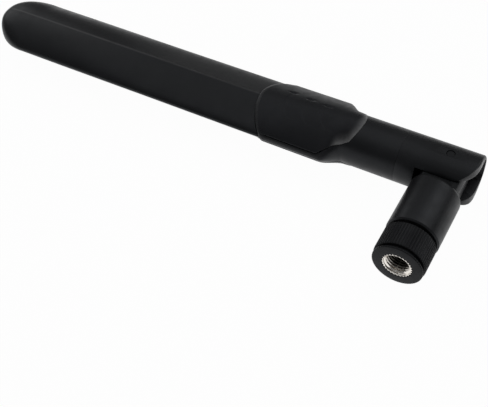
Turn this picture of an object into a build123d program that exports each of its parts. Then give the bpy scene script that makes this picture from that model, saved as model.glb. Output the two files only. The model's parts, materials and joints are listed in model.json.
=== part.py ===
"""A bent swivel antenna: flat radome blade, grip neck, tilting hinge and screw-on coaxial plug.

Millimetres. The origin is the centre of the coupling nut's mouth. The plug looks along -Y,
the blade lies along -X from the hinge, and the hinge axis is parallel to +Z.
The arm pieces are drawn about the hinge axis and then moved to their place.
"""
import os
from build123d import *

# blade, measured from the hinge axis
blade_reach = 134.1
blade_half_width = 9.75
blade_half_height = 4.6
blade_edge = 1.35
blade_crown = 0.68
blade_ridge_slope = 0.33
blade_tip_half_height = 4.5
blade_tip_edge = 1.5
blade_tip_crown = 0.56
blade_tip_length = 11.8
blade_tip_bluntness = 4.6
blade_tip_steps = 8
blade_nose_edge = 3.0
blade_nose_crown = 0.9
ridge_fade_behind_tip = 22.1
ridge_full_behind_tip = 58.1
blade_wall = 1.35
cavity_nose_length = 7.9
cavity_nose_half_width = 5.2
cavity_nose_half_height = 1.7
blade_end = 36.0

# neck sleeve, measured from the hinge axis
lip_front = 50.3
lip_side = 46.3
lip_ramp = 1.8
lip_half_width = 9.8
lip_half_height = 4.97
lip_edge = 2.1
sleeve_half_width = 10.15
sleeve_edge = 1.55
sleeve_crown = 0.4
sleeve_shoulder = 31.0
sleeve_shoulder_half_height = 7.0
sleeve_drop = 29.3
sleeve_foot = 24.7
spigot_step = 0.95
joint_gap = 0.05
crown_half_width = 9.65
crown_corner = 30.6
crown_waist = 26.2
crown_waist_half_width = 6.45
crown_tail = 23.4
crown_tail_half_width = 5.15
crown_end = 21.6
crown_slab_half_width = 6.15
crown_slab_half_height = 7.2
pad_margin = 0.6
pad_side_margin = 0.05
pad_gap = 0.12
pad_recess = 1.0
pad_proud = 0.12
pad_edge_share = 0.85
crescent_count = 3
crescent_pitch = 5.1
crescent_first = 42.0
crescent_width = 1.25
crescent_depth = 0.35

# neck tube and fork
tube_radius = 6.5
neck_end = 11.2
neck_bore_radius = 4.6
fork_end = 7.3
fork_rim_round = 0.6
hood_wall = 0.75
slot_width = 7.4
slot_back = 6.5
closed_wall = 1.25
ear_corner_length = 5.0
ear_corner_height = 6.0
spigot_length = 4.5
cable_hole_radius = 1.15

# hinge
pivot_reach = 30.5
pin_radius = 1.05
pin_running_gap = 0.05
pin_recess = 0.22
pin_inner_z = 1.7
tongue_clearance = 0.2
tongue_half_width = 5.1
tongue_corner_radius = tube_radius - hood_wall - tongue_clearance
swing_gap = 0.3
cable_channel = 2.6
knuckle_shoulder = fork_end + swing_gap
barrel_edge = 0.35
barrel_shoulder_round = 1.3

# barrel and coupling nut, measured from the nut's mouth
barrel_radius = 6.38
nut_length = 7.65
nut_gap = 0.75
ring_radius = 6.22
ring_face_radius = 6.02
ring_face_thickness = 0.5
ring_face_chamfer = 0.25
ring_groove_width = 0.7
ring_groove_depth = 0.6
ring_rib_count = 58
ring_rib_depth = 0.17
ring_back_wall = 0.55
ring_back_hole_radius = 3.3
insert_radius = 3.63
insert_seat_gap = 0.01
insert_rib_count = 44
insert_rib_depth = 0.13
thread_bore_radius = 2.85
thread_mouth_radius = 3.2
thread_chamfer = 0.35
thread_free_length = 4.6
relief_radius = 3.15
relief_length = 1.8
insert_flange_radius = 2.56

# plug core
core_front_radius = 2.3
core_body_radius = 2.5
core_wall = 0.45
core_setback = 0.1
core_flange_radius = 3.7
core_flange_thickness = 0.6
core_cone_length = 1.0
core_end = 14.4
core_crimp_length = 2.7
axial_play = 0.1
gasket_radius = 2.8
gasket_thickness = 0.7
snap_ring_thickness = 0.4
snap_ring_radius = 2.85
snap_ring_groove_radius = 2.05
snap_ring_opening = 2.0
contact_radius = 0.64
contact_hole_radius = 0.35
contact_hole_depth = 3.0
contact_setback = 0.5
contact_length = 8.0
bush_radius = 4.4
bush_length = 5.0
bush_running_gap = 0.05
clip_radius = 3.5
clip_thickness = 0.5
clip_opening = 2.6
ferrule_radius = 1.6
ferrule_wall = 0.35
ferrule_length = 4.2
ferrule_room = 1.8

# cable and board
cable_radius = 0.9
braid_radius = 0.68
dielectric_radius = 0.43
wire_radius = 0.16
cable_bend_start = 6.2
bend_end_gap = 0.05
board_tip_room = 12.1
board_neck_room = 10.2
board_front = blade_reach - board_tip_room
board_back = lip_front + board_neck_room
board_half_width = 5.5
board_thickness = 0.8
trace_thickness = 0.1
trace_width = 2.0
trace_margin = 0.4
trace_front_room = 3.0
trace_back_room = 1.0
feed_from_board_back = 7.5
feed_x = board_back + feed_from_board_back
feed_pad_length = 3.2
ground_arm_overlap = 8.5
radiator_bar_from_feed = 11.0
radiator_bar_width = 3.0
radiator_stub_length = 17.0
feed_strip_half_width = 0.8
holder_length = 4.0
holder_gap = 0.1
holder_skin_gap = 0.15
holder_behind_board_front = 10.0
holder_behind_feed = 3.7
cable_lift = 0.05
cable_height = board_thickness / 2 + trace_thickness + cable_radius + cable_lift
cable_strip_step = 1.6
cable_rise_start = board_back - 0.5
cable_rise_end = 48.0
cable_rise_radius = 14.0
cable_slot_margin = 0.2
solder_wire_size = (1.5, 1.5, 1.3)
solder_braid_size = (1.4, 3.4, 1.5)

ellipse_handle = 0.5523
overrun = 30.0
pivot = Vector(0, pivot_reach, 0)


def section_face(x, half_width, half_height, edge=None, crown=ellipse_handle, slope=0.0):
    """Section across X from four cubic quarters.

    edge is the height of the side's handle, crown the share of the width that the top's
    handle takes, and slope the fall of the facets beside the ridge. The defaults are an ellipse.
    """
    side = half_height * ellipse_handle if edge is None else edge
    reach = half_width * crown
    quarters = []
    for sy, sz in ((1, 1), (-1, 1), (-1, -1), (1, -1)):
        points = [
            (x, sy * half_width, 0),
            (x, sy * half_width, sz * side),
            (x, sy * reach, sz * (half_height - slope * reach)),
            (x, 0, sz * half_height),
        ]
        if sy * sz < 0:
            points.reverse()
        quarters.append(Bezier(*points))
    return Face(Wire(quarters))


def skin(stations):
    """Body through (x, half width, half height, edge, crown, slope) stations."""
    return loft([section_face(*station) for station in stations], ruled=True)


def eased(share):
    """Smooth step from 0 to 1."""
    return share * share * (3 - 2 * share)


def between(first, last, count, shape=eased):
    """Stations from the first to the last, x evenly spaced and the sizes eased."""
    stations = []
    for i in range(count + 1):
        share = i / count
        sizes = [a + (b - a) * shape(share) for a, b in zip(first[1:], last[1:])]
        stations.append((first[0] + (last[0] - first[0]) * share, *sizes))
    return stations


def part_way(x, first, last):
    """Station between two others, in proportion to its place."""
    share = (x - first[0]) / (last[0] - first[0])
    return (x, *(a + (b - a) * share for a, b in zip(first[1:], last[1:])))


def cylinder_x(radius, start, end):
    """Round bar along X between two stations."""
    return Pos((start + end) / 2, 0, 0) * Rot(0, 90, 0) * Cylinder(radius, end - start)


def cylinder_z(radius, low, high, x=0.0, y=0.0):
    """Round bar along Z between two heights."""
    return Pos(x, y, (low + high) / 2) * Cylinder(radius, high - low)


def turned(*profile):
    """Solid of revolution about Y from (radius, y) points."""
    return revolve(make_face(Polyline(*profile, close=True)), axis=Axis.Y)


def tube_y(outer, inner, start, end):
    """Plain sleeve about Y."""
    return turned((inner, start), (outer, start), (outer, end), (inner, end))


def ribbed_ring_face(outer, depth, count, inner):
    """Ring face in the XZ plane whose outer edge is a row of V ribs."""
    points = []
    for i in range(count):
        for radius, turn in ((outer, 0.0), (outer - depth, 0.5)):
            angle = 360 * (i + turn) / count
            points.append(Vector(radius, 0, 0).rotate(Axis.Y, angle))
    disc = make_face(Polyline(*points, close=True))
    hole = make_face(Plane.XZ * Edge.make_circle(inner))
    return disc - hole


def moved(part):
    """Takes a piece drawn about the hinge axis to its place."""
    return Pos(pivot) * part


def grown(station, rise):
    """Crown station raised or sunk by a height."""
    x, half_width, half_height, edge, crown, slope = station
    return x, half_width, half_height + rise, edge + pad_edge_share * rise, crown, slope


def sleeve_stations():
    """Stations of the sleeve from its lip to the start of its shoulder's drop."""
    lip = (-lip_front - 1, lip_half_width, lip_half_height, lip_edge, sleeve_crown, 0.0)
    shoulder = (-sleeve_shoulder, lip_half_width, sleeve_shoulder_half_height, sleeve_edge, sleeve_crown, 0.0)
    ramp_start = part_way(-lip_side, lip, shoulder)
    ramp_end = part_way(-lip_side + lip_ramp, lip, shoulder)
    wide = [(x, sleeve_half_width, *rest) for x, _, *rest in (ramp_end, shoulder)]
    return [lip, ramp_start, *wide, (-sleeve_drop, *wide[-1][1:])]


def neck_skin():
    """Sleeve, shoulder and round tube of the neck."""
    stations = sleeve_stations()
    foot = (-sleeve_foot, tube_radius, tube_radius, tube_radius * ellipse_handle, ellipse_handle, 0.0)
    return skin(stations[:-1] + between(stations[-1], foot, 6) + [(-neck_end, *foot[1:])])


def crown_skin(rise):
    """Domed body that the crown and the pads follow, raised or sunk by a height."""
    stations = sleeve_stations()
    slab_edge = crown_slab_half_height * ellipse_handle
    slab = (-sleeve_foot, crown_slab_half_width, crown_slab_half_height, slab_edge, ellipse_handle, 0.0)
    stations = stations[:-1] + between(stations[-1], slab, 4) + [(-crown_end + 1, *slab[1:])]
    return skin([grown(station, rise) for station in stations])


def crown_outline(margin=0.0, side_margin=0.0):
    """Plan of the crown on a broad face, pulled in by a margin at its front and one all round the rest."""
    half = crown_half_width - side_margin
    waist = crown_waist_half_width - side_margin
    tail = crown_tail_half_width - side_margin
    front = -lip_front + margin
    side = -lip_side + margin
    corner = -crown_corner - side_margin / 2
    waist_x = -crown_waist - side_margin / 2
    tail_x = -crown_tail - side_margin / 2
    lead = ThreePointArc((side, -half), (front, 0), (side, half))
    flank = Line((side, half), (corner, half))
    drop = Spline((corner, half), (waist_x, waist), (tail_x, tail), tangents=((1, 0), (1, -0.4)))
    end = ThreePointArc((tail_x, tail), (-crown_end - side_margin, 0), (tail_x, -tail))
    rise = Spline((tail_x, -tail), (waist_x, -waist), (corner, -half), tangents=((-1, -0.4), (-1, 0)))
    back = Line((corner, -half), (side, -half))
    return make_face([lead, flank, drop, end, rise, back])


def upright(face, low, high):
    """Upright prism over a plan face."""
    return Pos(0, 0, low) * extrude(face, amount=high - low)


def lip_prism(offset=0.0):
    """Everything behind the sleeve's curved leading edge."""
    far = sleeve_half_width + 2
    side = -lip_side + offset
    front = -lip_front + offset
    arc = ThreePointArc((side, -crown_half_width), (front, 0), (side, crown_half_width))
    back = Polyline((side, crown_half_width), (side, far), (0, far), (0, -far), (side, -far),
                    (side, -crown_half_width))
    return upright(make_face([arc, back]), -overrun, overrun)


def blade_station(x, inset=0.0, ridge=1.0):
    """Blade section with its walls pulled in and its ridge softened towards the tip's smooth crown."""
    soft = 1 - ridge
    full_height = ridge * blade_half_height + soft * blade_tip_half_height
    height = full_height - inset
    edge = (ridge * blade_edge + soft * blade_tip_edge) * height / full_height
    crown = ridge * blade_crown + soft * blade_tip_crown
    return x, blade_half_width - inset, height, edge, crown, ridge * blade_ridge_slope


def ridge_share(x):
    """How sharp the ridge is at a station, 1 over most of the blade and 0 in the tip."""
    fade = -blade_reach + ridge_fade_behind_tip
    full = -blade_reach + ridge_full_behind_tip
    return eased(min(1.0, max(0.0, (x - fade) / (full - fade))))


def ridge_run(inset=0.0):
    """Stations over which the ridge rises out of the smooth tip."""
    fade = -blade_reach + ridge_fade_behind_tip
    full = -blade_reach + ridge_full_behind_tip
    return between(blade_station(fade, inset, 0), blade_station(full, inset, 1), 4)


def blade_outer():
    """Radome skin with its ridge fading towards a tip that is half an ellipse in plan and blunt in height."""
    dome = -blade_reach + blade_tip_length
    first = blade_station(dome, 0, 0)
    x, width, height, edge, crown, slope = first
    stations = []
    for i in range(blade_tip_steps, 0, -1):
        arc = Vector(1, 0, 0).rotate(Axis.Z, 88 * i / blade_tip_steps)
        fall = (1 - arc.Y**blade_tip_bluntness) ** (1 / blade_tip_bluntness)
        nose_edge = (edge + (blade_nose_edge - edge) * arc.Y) * fall
        nose_crown = crown + (blade_nose_crown - crown) * arc.Y
        end = dome - blade_tip_length * arc.Y
        stations.append((end, width * arc.X, height * fall, nose_edge, nose_crown, slope))
    stations += [first] + ridge_run()
    return skin(stations + [blade_station(-blade_end - 4)])


def spigot(grow=0.0, tail=0.0):
    """Reduced end of the blade that plugs into the sleeve."""
    front = blade_station(-lip_front - 3, spigot_step - grow)
    return skin([front, (-blade_end + tail, *front[1:])])


def blade_cavity():
    """Room for the board inside the blade."""
    dome = -blade_reach + blade_tip_length
    run = ridge_run(blade_wall)
    neck = blade_station(-lip_front - 5, blade_wall + spigot_step)
    nose = (dome - cavity_nose_length, cavity_nose_half_width, cavity_nose_half_height)
    return skin([
        nose,
        (dome + 1, *run[0][1:]),
        *run,
        (-lip_front - 9, *run[-1][1:]),
        neck,
        (-blade_end + 1, *neck[1:]),
    ])


def make_radome_blade():
    outer = blade_outer() - lip_prism() + (spigot() & lip_prism(-0.5))
    return outer - blade_cavity()


def make_grip_neck():
    """Socket sleeve with its raised crowns and the round neck in one moulding."""
    body = neck_skin() & lip_prism()
    body += crown_skin(0) & upright(crown_outline(), -overrun, overrun)
    recess = upright(crown_outline(pad_margin, pad_side_margin), 0, overrun) - crown_skin(-pad_recess)
    body -= recess
    body -= mirror(recess, about=Plane.XY)
    body -= spigot(joint_gap, 0.3)
    body -= cylinder_x(cable_hole_radius, -blade_end - 1, -neck_end - spigot_length + 1)
    return body - cylinder_x(neck_bore_radius, -neck_end - spigot_length - joint_gap, -neck_end + 1)


def crescent(index):
    """Plan of one finger crescent, an arc that is thick in the middle and thin at its ends."""
    x = -crescent_first + index * crescent_pitch
    shrink = 1 - 0.08 * index
    top = (x, 4.1 * shrink)
    low = (x + 3.6 * shrink, -4.6 * shrink)
    mid_x = x - 0.6 * shrink
    outer = ThreePointArc(top, (mid_x, -1.0), low)
    inner = ThreePointArc(low, (mid_x + crescent_width, -0.8), top)
    return make_face([outer, inner])


def make_grip_pad():
    """Soft inlay on the broad face with three finger crescents."""
    outline = crown_outline(pad_margin + pad_gap, pad_side_margin + pad_gap)
    pad = upright(outline, 0, overrun) & crown_skin(pad_proud)
    pad -= crown_skin(-pad_recess)
    floor = crown_skin(pad_proud - crescent_depth)
    for index in range(crescent_count):
        pad -= upright(crescent(index), 0, overrun) - floor
    return pad


def ear_plan():
    """Plan of the fork seen along the hinge axis, with its open side's rounded corner."""
    low = -tube_radius
    lower_edge = -(tube_radius**2 - (slot_width / 2) ** 2) ** 0.5
    start = (fork_end - ear_corner_length, lower_edge)
    end = (fork_end, lower_edge + ear_corner_height)
    outline = Polyline((-neck_end, low), (-slot_back, low), (-slot_back, lower_edge), start)
    round_corner = Bezier(
        start,
        (start[0] + ellipse_handle * ear_corner_length, start[1]),
        (end[0], end[1] - ellipse_handle * ear_corner_height),
        end)
    rest = Polyline(end, (fork_end, tube_radius), (-neck_end, tube_radius), (-neck_end, low))
    return make_face([*outline.edges(), round_corner, *rest.edges()])


def make_hinge_fork():
    """Hooded fork: two ears, a closed back wall and a spigot that plugs into the neck."""
    body = cylinder_x(tube_radius, -neck_end, fork_end)
    body = fillet(body.edges().sort_by(Axis.X)[-1:], fork_rim_round)
    body &= upright(ear_plan(), -overrun, overrun)
    body += cylinder_x(neck_bore_radius - joint_gap, -neck_end - spigot_length, -neck_end)
    slot_length = slot_back + fork_end + 5
    slot_top = tube_radius - closed_wall
    room = Box(slot_length, slot_top, slot_width, align=(Align.MIN, Align.MIN, Align.CENTER))
    room = Pos(-slot_back, 0, 0) * room & cylinder_x(tube_radius - hood_wall, -slot_back, fork_end + 5)
    mouth = Box(slot_length, overrun, slot_width, align=(Align.MIN, Align.MAX, Align.CENTER))
    body -= room + Pos(-slot_back, 0, 0) * mouth
    body -= cylinder_x(cable_hole_radius, -neck_end - spigot_length - 1, 0)
    return body - cylinder_z(pin_radius, -overrun, overrun)


def make_hinge_pin():
    """Dowel that sits in an ear and runs in the knuckle's tongue."""
    top = tube_radius - pin_recess
    pin = cylinder_z(pin_radius, pin_inner_z, top)
    return chamfer(pin.edges().sort_by(Axis.Z)[-1:] + pin.edges().sort_by(Axis.Z)[:1], 0.15)


def make_knuckle_barrel():
    """Barrel of the elbow with its tongue, drawn from the nut's mouth."""
    front = nut_length + nut_gap
    shoulder = pivot_reach - knuckle_shoulder
    body = turned((0, front), (barrel_radius - barrel_edge, front), (barrel_radius, front + barrel_edge),
                  (barrel_radius, shoulder), (0, shoulder))
    body = fillet(body.edges().sort_by(Axis.Y)[-1:], barrel_shoulder_round)
    tongue_half = slot_width / 2 - tongue_clearance
    tongue = Box(2 * tongue_half_width, knuckle_shoulder + 2, 2 * tongue_half,
                 align=(Align.CENTER, Align.MIN, Align.CENTER))
    body += Pos(0, shoulder - 2, 0) * tongue & tube_y(tongue_corner_radius, 0, shoulder - 2, pivot_reach)
    knuckle = cylinder_z(tongue_half_width, -tongue_half, tongue_half, 0, pivot_reach)
    body += knuckle & Pos(0, pivot_reach, 0) * Sphere(tongue_corner_radius)
    body -= cylinder_z(pin_radius + pin_running_gap, -overrun, overrun, 0, pivot_reach)
    rear_room = core_end + ferrule_length + ferrule_room
    body -= turned((0, front - 1), (bush_radius, front - 1), (bush_radius, rear_room), (0, rear_room))
    channel_low = rear_room - 1
    channel = Box(overrun, overrun, cable_channel, align=(Align.MAX, Align.MIN, Align.CENTER))
    body -= Pos(cable_channel / 2, shoulder, 0) * channel
    return body - tube_y(cable_hole_radius, 0, channel_low, shoulder + 1)


def bush_start():
    """Front of the bush, just behind the plug core's flange."""
    return nut_length + nut_gap + core_flange_thickness + 2 * axial_play


def make_swivel_bush():
    """Brass sleeve pressed into the barrel, which the plug core turns in."""
    start = bush_start()
    return tube_y(bush_radius, core_body_radius + bush_running_gap, start, start + bush_length)


def make_plug_core():
    """Plated body of the plug, from its open front to the crimp neck."""
    flange = nut_length + nut_gap + axial_play
    front = thread_free_length + core_setback
    groove = thread_free_length + gasket_thickness
    shoulder = groove + snap_ring_thickness
    crimp_radius = ferrule_radius - ferrule_wall
    contact_back = thread_free_length + contact_length
    return turned(
        (core_front_radius - core_wall, front),
        (core_front_radius, front),
        (core_front_radius, groove),
        (snap_ring_groove_radius, groove),
        (snap_ring_groove_radius, shoulder),
        (core_body_radius, shoulder),
        (core_body_radius, flange),
        (core_flange_radius, flange),
        (core_flange_radius, flange + core_flange_thickness),
        (core_body_radius, flange + core_flange_thickness),
        (core_body_radius, core_end),
        (crimp_radius, core_end),
        (crimp_radius, core_end + core_crimp_length),
        (cable_radius, core_end + core_crimp_length),
        (cable_radius, core_end),
        (dielectric_radius, core_end),
        (dielectric_radius, contact_back + core_cone_length),
        (core_front_radius - core_wall, contact_back),
    )


def make_plug_insulator():
    """White disc and sleeve that hold the centre contact."""
    front = thread_free_length + contact_setback
    return tube_y(core_front_radius - core_wall, contact_radius, front, thread_free_length + contact_length)


def make_centre_contact():
    """Gold contact with an open front end."""
    front = thread_free_length + contact_setback
    back = thread_free_length + contact_length
    hole_end = front + contact_hole_depth
    return turned((0, hole_end), (contact_hole_radius, hole_end), (contact_hole_radius, front),
                  (contact_radius, front), (contact_radius, back), (0, back))


def make_sealing_ring():
    """Soft gasket round the front of the core."""
    start = thread_free_length + core_setback
    return tube_y(gasket_radius, core_front_radius, start, thread_free_length + gasket_thickness)


def make_snap_ring():
    """Open spring ring that keeps the nut on the core."""
    start = thread_free_length + gasket_thickness
    ring = tube_y(snap_ring_radius, snap_ring_groove_radius, start, start + snap_ring_thickness)
    gap = Box(overrun, overrun, snap_ring_opening, align=(Align.MIN, Align.CENTER, Align.CENTER))
    return ring - gap


def make_swivel_clip():
    """Open ring behind the bush that keeps the core in the barrel."""
    start = bush_start() + bush_length + axial_play
    ring = tube_y(clip_radius, core_body_radius, start, start + clip_thickness)
    gap = Box(overrun, overrun, clip_opening, align=(Align.MIN, Align.CENTER, Align.CENTER))
    return ring - gap


def make_crimp_ferrule():
    """Crimped sleeve that ties the cable to the core."""
    return tube_y(ferrule_radius, ferrule_radius - ferrule_wall, core_end, core_end + ferrule_length)


def make_grip_ring():
    """Ribbed plastic ring of the coupling nut with a groove behind its thin front face."""
    rib_start = ring_face_thickness + ring_groove_width
    bore = insert_radius
    back = nut_length - ring_back_wall
    body = turned((bore, 0), (ring_face_radius - ring_face_chamfer, 0), (ring_face_radius, ring_face_chamfer),
                  (ring_face_radius, ring_face_thickness),
                  (ring_radius - ring_groove_depth, ring_face_thickness),
                  (ring_radius - ring_groove_depth, rib_start),
                  (ring_radius - ring_rib_depth, rib_start),
                  (ring_radius - ring_rib_depth, nut_length),
                  (ring_back_hole_radius, nut_length), (ring_back_hole_radius, back), (bore, back))
    ribs = ribbed_ring_face(ring_radius, ring_rib_depth, ring_rib_count, ring_radius - ring_groove_depth)
    return body + Pos(0, rib_start, 0) * extrude(ribs, amount=nut_length - rib_start, dir=(0, 1, 0))


def make_threaded_insert():
    """Plated metal insert with the thread's bore, straight ribs and a thrust flange behind."""
    back = nut_length - ring_back_wall
    relief_end = thread_free_length + relief_length
    crest = insert_radius - insert_seat_gap
    root = crest - insert_rib_depth
    ribs = ribbed_ring_face(crest, insert_rib_depth, insert_rib_count, thread_mouth_radius)
    body = extrude(ribs, amount=back, dir=(0, 1, 0))
    core = turned((thread_mouth_radius, 0), (root, 0), (root, back),
                  (insert_flange_radius, back), (insert_flange_radius, relief_end),
                  (relief_radius, relief_end),
                  (relief_radius, thread_free_length), (thread_bore_radius, thread_free_length),
                  (thread_bore_radius, thread_chamfer))
    return body + core


def cable_path():
    """Centre line of the cable from the board to the fork."""
    return FilletPolyline(
        (-feed_x + 2 * cable_strip_step, 0, cable_height), (-cable_rise_start, 0, cable_height),
        (-cable_rise_end, 0, 0),
        (-cable_bend_start, 0, 0), radius=cable_rise_radius)


def make_cable_arm():
    """Jacketed cable from the board through the neck."""
    path = cable_path()
    start = path.position_at(0)
    return sweep(Plane(origin=start, z_dir=path.tangent_at(0)) * Circle(cable_radius), path=path)


def cable_stub(radius, start, end):
    """Stripped end of the cable above the board."""
    return Pos(0, 0, cable_height) * cylinder_x(radius, -start, -end)


def make_cable_bend():
    """Quarter turn of the cable through the hinge."""
    reach = cable_bend_start - bend_end_gap
    middle = -reach * (1 - 0.5**0.5)
    path = ThreePointArc((-reach, 0, 0), (middle, middle, 0), (0, -reach, 0))
    return sweep(Plane(origin=(-reach, 0, 0), z_dir=(1, 0, 0)) * Circle(cable_radius), path=path)


def make_cable_barrel():
    """Jacketed cable from the hinge into the crimp."""
    return turned((0, core_end), (cable_radius, core_end),
                  (cable_radius, pivot_reach - cable_bend_start), (0, pivot_reach - cable_bend_start))


def make_board():
    """Glass-epoxy strip that carries the radiators."""
    length = board_front - board_back
    return Pos(-board_front, 0, 0) * Box(length, 2 * board_half_width, board_thickness,
                                         align=(Align.MIN, Align.CENTER, Align.CENTER))


def trace(rectangles):
    """Copper pattern from (x start, x end, y low, y high) fields on the board's upper face."""
    pattern = Sketch()
    for start, end, low, high in rectangles:
        pattern += Pos(-(start + end) / 2, (low + high) / 2) * Rectangle(start - end, high - low)
    return Pos(0, 0, board_thickness / 2) * extrude(pattern, amount=trace_thickness)


def make_radiator_trace():
    """Upper arm of the dipole: two tuned fingers, a middle stub and the feed strip."""
    edge = board_half_width - trace_margin
    front = board_front - trace_front_room
    bar = feed_x + radiator_bar_from_feed
    return trace([
        (front, bar, edge - trace_width, edge),
        (front, bar, -edge, -edge + trace_width),
        (bar + radiator_bar_width, bar, -edge, edge),
        (bar + radiator_stub_length, bar, -trace_width / 2, trace_width / 2),
        (bar + radiator_bar_width, feed_x - trace_margin, -feed_strip_half_width, feed_strip_half_width),
    ])


def make_ground_trace():
    """Lower arm of the dipole with its two return legs and the pad for the braid."""
    edge = board_half_width - trace_margin
    back = board_back + trace_back_room
    pad = feed_x - 1.0
    return trace([
        (pad, pad - feed_pad_length, -edge, edge),
        (feed_x + ground_arm_overlap, back, edge - trace_width, edge),
        (feed_x + ground_arm_overlap, back, -edge, -edge + trace_width),
    ])


def solder_mound(x, size, wire):
    """Domed solder joint on the copper round a lead of the given radius."""
    length, width, height = size
    base = board_thickness / 2 + trace_thickness
    mound = scale(Sphere(1), by=(length / 2, width / 2, height))
    mound = Pos(-x, 0, base) * split(mound, bisect_by=Plane.XY, keep=Keep.TOP)
    return mound - cable_stub(wire, x + length, x - length)


def make_board_holder(station):
    """Foam saddle that centres the board in the blade."""
    front = blade_station(-station, blade_wall + holder_skin_gap, ridge_share(-station))
    block = skin([front, (-station + holder_length, *front[1:])])
    slot = Pos(-station, 0, 0) * Box(holder_length, 2 * (board_half_width + holder_gap),
                                     board_thickness + 2 * trace_thickness + 2 * holder_gap,
                                     align=(Align.MIN, Align.CENTER, Align.CENTER))
    cable_way = Pos(-station, 0, 0) * Box(holder_length, 2 * (cable_radius + cable_slot_margin), overrun,
                                          align=(Align.MIN, Align.CENTER, Align.MIN))
    return block - slot - cable_way


def save(name, part):
    export_step(Part() + part, f"parts/{name}.step")


def main():
    os.makedirs("parts", exist_ok=True)
    pad = make_grip_pad()
    pin = make_hinge_pin()
    arm_pieces = {
        "radome_blade": make_radome_blade(),
        "grip_neck": make_grip_neck(),
        "grip_pad_upper": pad,
        "grip_pad_lower": mirror(pad, about=Plane.XY),
        "hinge_fork": make_hinge_fork(),
        "hinge_pin_upper": pin,
        "hinge_pin_lower": mirror(pin, about=Plane.XY),
        "antenna_board": make_board(),
        "radiator_trace": make_radiator_trace(),
        "ground_trace": make_ground_trace(),
        "board_holder_tip": make_board_holder(board_front - holder_behind_board_front),
        "board_holder_neck": make_board_holder(feed_x - holder_behind_feed),
        "cable_arm": make_cable_arm(),
        "cable_braid_end": cable_stub(braid_radius, feed_x - cable_strip_step, feed_x - 2 * cable_strip_step),
        "cable_dielectric_end": cable_stub(dielectric_radius, feed_x, feed_x - cable_strip_step),
        "cable_wire_end": cable_stub(wire_radius, feed_x + cable_strip_step, feed_x),
        "cable_bend": make_cable_bend(),
        "solder_wire": solder_mound(feed_x + cable_strip_step / 2, solder_wire_size, wire_radius),
        "solder_braid": solder_mound(feed_x - 1.5 * cable_strip_step, solder_braid_size, braid_radius),
    }
    for name, part in arm_pieces.items():
        save(name, moved(part))
    save("knuckle_barrel", make_knuckle_barrel())
    save("cable_barrel", make_cable_barrel())
    save("swivel_bush", make_swivel_bush())
    save("plug_core", make_plug_core())
    save("plug_insulator", make_plug_insulator())
    save("centre_contact", make_centre_contact())
    save("sealing_ring", make_sealing_ring())
    save("snap_ring", make_snap_ring())
    save("swivel_clip", make_swivel_clip())
    save("crimp_ferrule", make_crimp_ferrule())
    save("grip_ring", make_grip_ring())
    save("threaded_insert", make_threaded_insert())


main()
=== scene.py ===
import json
import bmesh
import bpy
import numpy as np
from mathutils import Matrix, Vector


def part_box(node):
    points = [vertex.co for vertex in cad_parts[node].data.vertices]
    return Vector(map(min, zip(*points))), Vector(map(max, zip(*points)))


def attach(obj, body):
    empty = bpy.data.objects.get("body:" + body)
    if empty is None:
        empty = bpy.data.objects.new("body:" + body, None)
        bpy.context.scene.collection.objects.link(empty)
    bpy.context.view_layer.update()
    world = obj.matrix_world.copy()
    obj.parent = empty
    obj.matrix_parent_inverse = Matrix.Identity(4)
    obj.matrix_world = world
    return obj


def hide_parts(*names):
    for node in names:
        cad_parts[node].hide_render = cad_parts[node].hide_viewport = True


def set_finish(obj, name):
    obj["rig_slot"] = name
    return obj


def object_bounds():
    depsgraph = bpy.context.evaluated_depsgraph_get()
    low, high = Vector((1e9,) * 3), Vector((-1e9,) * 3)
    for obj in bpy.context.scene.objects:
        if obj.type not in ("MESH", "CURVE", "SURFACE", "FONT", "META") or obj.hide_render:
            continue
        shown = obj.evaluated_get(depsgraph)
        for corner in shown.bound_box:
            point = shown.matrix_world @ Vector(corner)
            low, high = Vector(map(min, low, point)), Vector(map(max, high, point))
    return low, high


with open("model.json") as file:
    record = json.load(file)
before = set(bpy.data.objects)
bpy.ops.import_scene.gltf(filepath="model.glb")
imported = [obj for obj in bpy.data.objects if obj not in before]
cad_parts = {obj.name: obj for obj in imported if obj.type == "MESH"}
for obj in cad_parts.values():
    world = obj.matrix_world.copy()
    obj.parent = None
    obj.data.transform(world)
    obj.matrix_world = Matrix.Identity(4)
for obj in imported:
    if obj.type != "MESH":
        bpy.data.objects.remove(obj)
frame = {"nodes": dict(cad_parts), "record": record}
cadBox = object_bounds()
nodes = frame["nodes"]
scene = bpy.context.scene
mm = 0.001
roundHandle = 0.5523  # handle share with which a cubic curve follows a quarter ellipse
bevelSegments, bevelAngle = 3, np.radians(32)  # of every broken edge, and what counts as one
steepest = 0.05  # least share of a normal's height that a slope is worked out from
halvings = 26  # of the search for a section's height
chunk = 8000  # points measured at a time
print("frame loaded with", len(nodes), "nodes")


# sizes read from the frame, in millimetres; the arm is worked out about the hinge axis
def cadSpan(node, axis):
    low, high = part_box(node)
    return low[axis] / mm, high[axis] / mm


pinSpanX, pinSpanY = cadSpan("hinge_pin_upper", 0), cadSpan("hinge_pin_upper", 1)
hinge = np.array([sum(pinSpanX) / 2, sum(pinSpanY) / 2, 0.0])
bladeTip = cadSpan("radome_blade", 0)[0]
bladeHeight = cadSpan("radome_blade", 2)[1]
neckEnd = cadSpan("grip_neck", 0)[1]
tubeRadius = cadSpan("hinge_fork", 2)[1]
nutLength = cadSpan("grip_ring", 1)[1]
ringRadius = cadSpan("grip_ring", 0)[1]
insertRadius = cadSpan("threaded_insert", 0)[1]
insertLength = cadSpan("threaded_insert", 1)[1]


def eased(share):
    share = np.clip(share, 0, 1)
    return share * share * (3 - 2 * share)


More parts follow.
